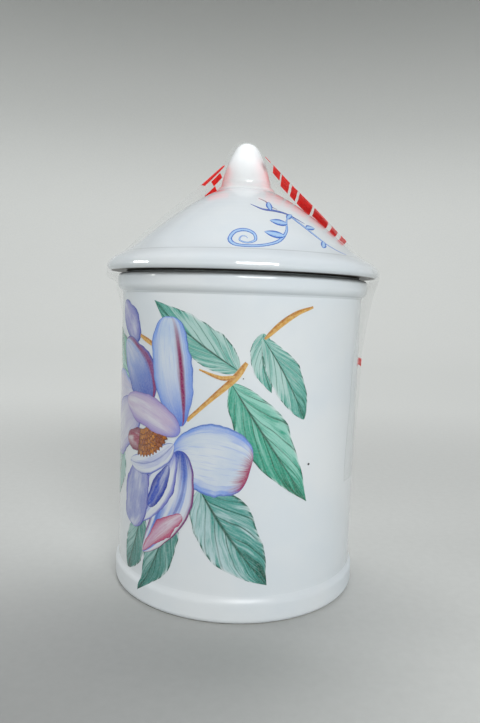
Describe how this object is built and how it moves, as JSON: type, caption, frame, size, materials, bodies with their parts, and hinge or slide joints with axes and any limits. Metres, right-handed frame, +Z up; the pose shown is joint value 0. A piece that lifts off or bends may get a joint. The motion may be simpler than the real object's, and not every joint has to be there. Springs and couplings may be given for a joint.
{
  "type": "apothecary jar",
  "caption": "Lidded porcelain storage jar: straight round body with a foot band and mouth bead, loose conical lid with a pointed knob, and clear tape over the lid.",
  "frame": {"origin": "centre of the foot ring, on the surface that the jar stands on", "axes": "+Z up along the jar's axis; the painted side faces -Y; +X is to the right of that side"},
  "size_m": [0.121, 0.12, 0.1952],
  "materials": {
    "porcelain": "opaque glazed white porcelain with overglaze painting",
    "tape_film": "clear glossy packing tape with red print"
  },
  "bodies": {
    "jar": {"jar_body": "porcelain", "tape_tail_left": "tape_film", "tape_tail_right": "tape_film"},
    "lid": {"lid": "porcelain", "lid_knob": "porcelain", "tape_over_lid": "tape_film"}
  },
  "joints": [
    {"name": "lid_lift", "type": "slide", "parent": "jar", "child": "lid", "axis": [0, 0, 1], "range_m": [0, 0.1]}
  ]
}
